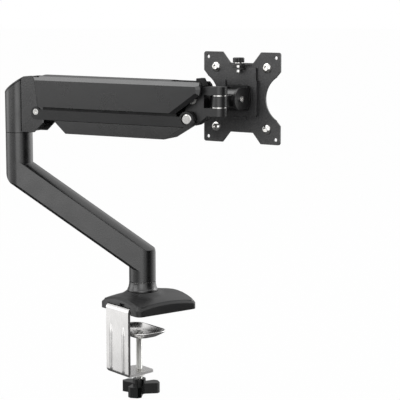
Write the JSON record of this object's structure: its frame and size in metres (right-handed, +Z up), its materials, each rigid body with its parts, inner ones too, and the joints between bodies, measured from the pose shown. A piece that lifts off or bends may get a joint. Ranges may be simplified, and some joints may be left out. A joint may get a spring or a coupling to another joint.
{
  "type": "monitor arm",
  "caption": "Desk-clamp monitor arm: fixed sloping lower arm, gas-sprung parallel-link upper arm and a swivelling, tilting, rotating screen plate.",
  "frame": {"origin": "on the desk surface, at the underside of the rubber pad, under the base swivel axis", "axes": "+Z up along the base swivel axis; +X along the rear edge of the desk; +Y from that edge towards the user"},
  "size_m": [0.3033, 0.2202, 0.4504],
  "materials": {
    "satin_black": "satin",
    "cover_black": "satin moulded",
    "gloss_black": "semi gloss",
    "powder_black": "fine textured powder coat",
    "zinc_steel": "zinc plated",
    "nickel": "bright nickel",
    "dark_steel": "black oxide",
    "white_nylon": "acetal",
    "desk_rubber": "matt"
  },
  "bodies": {
    "base": {"base_cover": "cover_black", "base_plate": "zinc_steel", "base_pad": "desk_rubber", "base_post": "zinc_steel", "post_bolts": "zinc_steel", "swivel_collar": "cover_black", "clamp_bracket": "nickel", "bracket_bolts": "zinc_steel", "clamp_nut": "nickel"},
    "clamp_pad": {"pressure_plate": "nickel", "pressure_rivet": "zinc_steel"},
    "clamp_screw": {"clamp_spindle": "nickel", "clamp_handle": "gloss_black"},
    "lower_arm": {"lower_arm_casting": "satin_black", "base_bushes": "white_nylon", "elbow_bushes": "white_nylon", "elbow_washer": "white_nylon", "tension_screws": "dark_steel", "lower_cable_cover": "cover_black"},
    "elbow": {"elbow_bracket": "satin_black", "elbow_shaft": "zinc_steel", "elbow_cap": "cover_black", "lift_pin": "nickel", "link_rear_pins": "zinc_steel", "spring_anchor_pin": "zinc_steel"},
    "upper_arm": {"arm_frame": "satin_black", "lift_bushes": "white_nylon", "arm_cable_cover": "cover_black", "front_pin": "zinc_steel", "front_pin_caps": "nickel", "spring_front_pin": "zinc_steel"},
    "upper_link": {"link_channel": "dark_steel", "near_side_cover": "cover_black", "far_side_cover": "cover_black", "cover_screws": "dark_steel"},
    "spring_tube": {"gas_spring_tube": "gloss_black"},
    "spring_rod": {"gas_spring_rod": "nickel"},
    "head_bracket": {"front_bracket": "satin_black", "bracket_cap": "cover_black", "link_front_pins": "zinc_steel", "knuckle_pin": "zinc_steel"},
    "head_neck": {"knuckle_washers": "nickel", "head_neck": "satin_black", "tilt_washers": "nickel"},
    "tilt_head": {"tilt_bracket": "powder_black", "tilt_bolt": "nickel", "tilt_nut": "nickel", "rotation_washer": "cover_black", "rotation_rivet": "zinc_steel"},
    "plate_carrier": {"quick_release_plate": "powder_black", "vesa_plate": "powder_black", "vesa_screws": "nickel"},
    "release_nut": {"release_washer": "nickel"},
    "release_knob": {"release_screw": "gloss_black"}
  },
  "joints": [
    {"name": "base_swivel", "type": "hinge", "parent": "base", "child": "lower_arm", "pos_m": [0, 0, 0.05], "axis": [0, 0, 1], "range_deg": [-180, 180]},
    {"name": "elbow_swivel", "type": "hinge", "parent": "lower_arm", "child": "elbow", "pos_m": [-0.1022, -0.1218, 0.232], "axis": [0, 0, 1], "range_deg": [-180, 180]},
    {"name": "lift", "type": "hinge", "parent": "elbow", "child": "upper_arm", "pos_m": [-0.0703, -0.10448, 0.2607], "axis": [0.4772, -0.8788, 0], "range_deg": [-24, 30]},
    {"name": "link_swing", "type": "hinge", "parent": "elbow", "child": "upper_link", "pos_m": [-0.06734, -0.10287, 0.28465], "axis": [0.4772, -0.8788, 0], "range_deg": [-24.5, 30.5]},
    {"name": "head_level", "type": "hinge", "parent": "upper_arm", "child": "head_bracket", "pos_m": [0.11379, -0.00453, 0.25741], "axis": [0.4772, -0.8788, 0], "range_deg": [-30.5, 24.5]},
    {"name": "spring_swing", "type": "hinge", "parent": "upper_arm", "child": "spring_tube", "pos_m": [0.07491, -0.02564, 0.27411], "axis": [0.4772, -0.8788, 0], "range_deg": [-1.28, 1.04]},
    {"name": "spring_stroke", "type": "slide", "parent": "spring_tube", "child": "spring_rod", "axis": [-0.8787, -0.4771, 0.0163], "range_m": [-0.00897, 0.00722]},
    {"name": "head_swivel", "type": "hinge", "parent": "head_bracket", "child": "head_neck", "pos_m": [0.14428, 0.01203, 0.27901], "axis": [0, 0, 1], "range_deg": [-157, 0]},
    {"name": "head_tilt", "type": "hinge", "parent": "head_neck", "child": "tilt_head", "pos_m": [0.13668, 0.03689, 0.28101], "axis": [0.9563, 0.2924, 0], "range_deg": [-35, 50]},
    {"name": "plate_rotation", "type": "hinge", "parent": "tilt_head", "child": "plate_carrier", "pos_m": [0.12979, 0.05942, 0.28101], "axis": [-0.2924, 0.9563, 0], "range_deg": [-90, 90]},
    {"name": "release_travel", "type": "slide", "parent": "plate_carrier", "child": "release_nut", "axis": [0, 0, 1], "range_m": [0, 0.008]},
    {"name": "release_turn", "type": "hinge", "parent": "release_nut", "child": "release_knob", "pos_m": [0.1317, 0.0532, 0.32401], "axis": [0, 0, 1], "range_deg": [-10, 3660]},
    {"name": "clamp_feed", "type": "slide", "parent": "base", "child": "clamp_pad", "axis": [0, 0, -1], "range_m": [0, 0.042]},
    {"name": "clamp_turn", "type": "hinge", "parent": "clamp_pad", "child": "clamp_screw", "pos_m": [0, -0.006, -0.06], "axis": [0, 0, -1], "range_deg": [-10, 12156]}
  ],
  "couplings": [
    {"joint": "link_swing", "follows": "lift", "ratio": 1},
    {"joint": "head_level", "follows": "lift", "ratio": -1},
    {"joint": "spring_swing", "follows": "lift", "ratio": -0.041061},
    {"joint": "spring_stroke", "follows": "lift", "m_per_rad": -0.016748},
    {"joint": "clamp_turn", "follows": "clamp_feed", "rad_per_m": 5026.5},
    {"joint": "release_turn", "follows": "release_travel", "rad_per_m": 7854}
  ]
}
